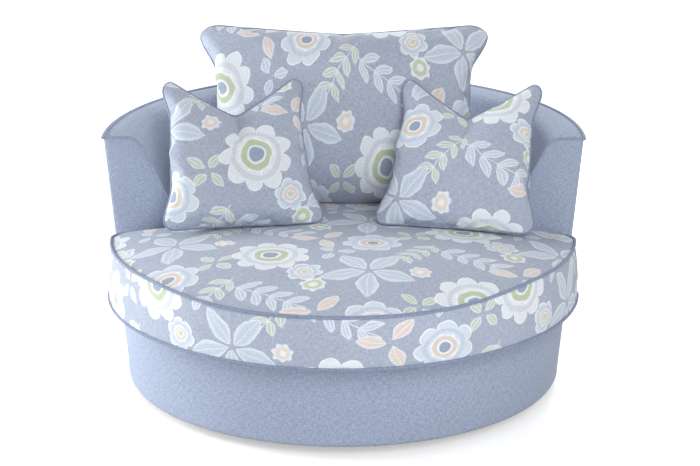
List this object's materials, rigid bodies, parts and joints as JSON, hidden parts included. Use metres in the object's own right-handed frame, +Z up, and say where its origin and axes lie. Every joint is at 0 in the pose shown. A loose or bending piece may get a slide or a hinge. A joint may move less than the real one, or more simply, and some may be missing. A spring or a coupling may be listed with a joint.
{
  "type": "swivel chair",
  "caption": "Low round tub chair on a hidden swivel plinth, with a boxed seat cushion, a loose back cushion and scatter cushions.",
  "frame": {"origin": "on the floor, on the swivel axis", "axes": "+Z up, -Y out of the seat's front, +X to the right as seen from the front"},
  "size_m": [1.24, 1.31, 0.89],
  "materials": {
    "plain_fabric": "plain weave",
    "printed_fabric": "printed weave",
    "black_cloth": "non-woven",
    "foam": "foam and fibre filling",
    "plywood": "birch plywood",
    "steel": "zinc plated",
    "plastic": "moulded"
  },
  "bodies": {
    "floor_base": {"glides": "plastic", "centre_pad": "plastic", "plinth_board": "plywood", "king_bolt": "steel", "king_washer": "steel", "king_nut": "steel", "lower_race": "steel", "lower_race_screws": "steel"},
    "ball_cage": {"ball_cage": "plastic", "bearing_balls": "steel"},
    "chair": {"upper_race": "steel", "swivel_board": "plywood", "upper_race_nuts": "steel", "long_rails": "plywood", "short_rails": "plywood", "lower_hoop": "plywood", "seat_hoop": "plywood", "rail_bolts": "steel", "drum_posts": "plywood", "dust_cover": "black_cloth", "spring_rails": "plywood", "seat_springs": "steel", "spring_clips": "steel", "deck_pad": "foam", "front_edge_roll": "foam", "front_band_cover": "plain_fabric", "front_band_panel": "plywood", "outer_back_cover": "plain_fabric", "outer_back_panel": "plywood", "top_rail": "plywood", "inner_former": "plywood", "back_ribs": "plywood", "tub_padding": "foam", "inner_back_cover": "plain_fabric", "rim_piping": "plain_fabric", "facing_left": "plain_fabric", "arm_board_left": "plywood", "facing_piping_left": "plain_fabric", "facing_right": "plain_fabric", "arm_board_right": "plywood", "facing_piping_right": "plain_fabric"},
    "seat_cushion": {"seat_cushion_cover": "printed_fabric", "seat_cushion_foam": "foam", "seat_cushion_piping": "plain_fabric", "seat_cushion_zip": "plastic"},
    "back_cushion": {"back_cushion_cover": "printed_fabric", "back_cushion_filling": "foam", "back_cushion_piping": "plain_fabric"},
    "scatter_left": {"scatter_left_cover": "printed_fabric", "scatter_left_filling": "foam", "scatter_left_piping": "plain_fabric"},
    "scatter_right": {"scatter_right_cover": "printed_fabric", "scatter_right_filling": "foam", "scatter_right_piping": "plain_fabric"}
  },
  "joints": [
    {"name": "swivel", "type": "hinge", "parent": "floor_base", "child": "chair", "pos_m": [0, 0, 0.03], "axis": [0, 0, 1], "continuous": true},
    {"name": "ball_ring_turn", "type": "hinge", "parent": "floor_base", "child": "ball_cage", "pos_m": [0, 0, 0.03], "axis": [0, 0, 1], "continuous": true},
    {"name": "seat_cushion_lift", "type": "slide", "parent": "chair", "child": "seat_cushion", "axis": [0, 0, 1], "range_m": [0, 0.35]},
    {"name": "back_cushion_lift", "type": "slide", "parent": "seat_cushion", "child": "back_cushion", "axis": [0, 0.5, 0.866], "range_m": [0, 0.35]},
    {"name": "scatter_left_lift", "type": "slide", "parent": "seat_cushion", "child": "scatter_left", "axis": [0.158, -0.7828, 0.6019], "range_m": [0, 0.3]},
    {"name": "scatter_right_lift", "type": "slide", "parent": "seat_cushion", "child": "scatter_right", "axis": [-0.1989, -0.7736, 0.6017], "range_m": [0, 0.3]}
  ],
  "couplings": [
    {"joint": "ball_ring_turn", "follows": "swivel", "ratio": 0.5}
  ]
}
